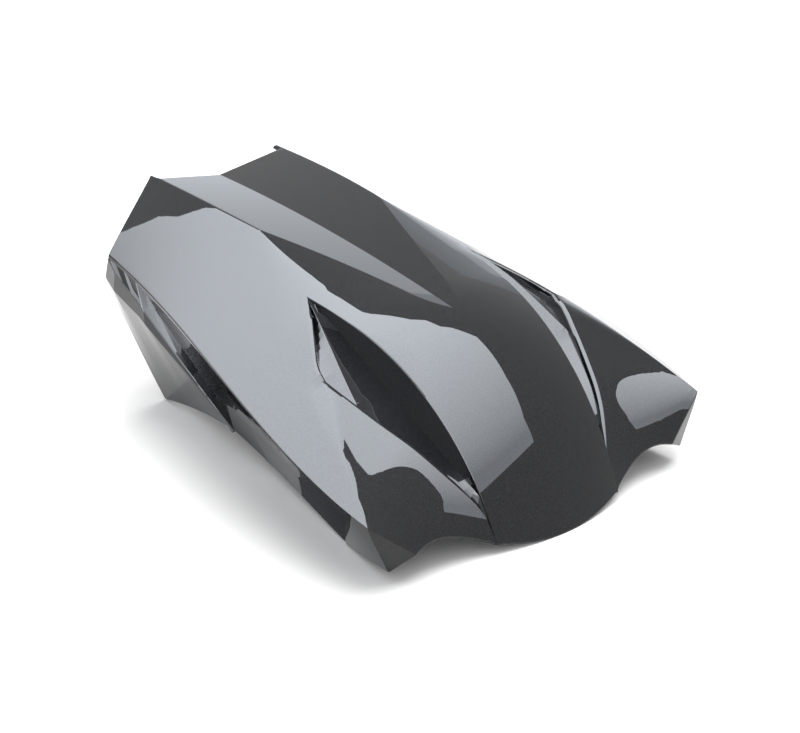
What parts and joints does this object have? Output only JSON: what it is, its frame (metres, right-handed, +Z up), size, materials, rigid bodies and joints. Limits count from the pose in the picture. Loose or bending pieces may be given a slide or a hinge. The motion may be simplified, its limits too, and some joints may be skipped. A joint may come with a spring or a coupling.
{
  "type": "seat cowl",
  "caption": "One-piece gloss black motorbike seat cowl with a sunken V along its back, blind vents, dished wings, grooved sides and a horned tail; screws on over the pillion seat's place.",
  "frame": {"origin": "centre of the bounding box on the ground plane under the cowl", "axes": "+Z up, +Y toward the narrow two-horned tail, -Y toward the wide lip, X across"},
  "size_m": [0.248, 0.3245, 0.1246],
  "materials": {
    "painted_abs": "gloss black metallic paint under clear coat"
  },
  "bodies": {
    "root": {"cowl_shell": "painted_abs"}
  },
  "joints": []
}
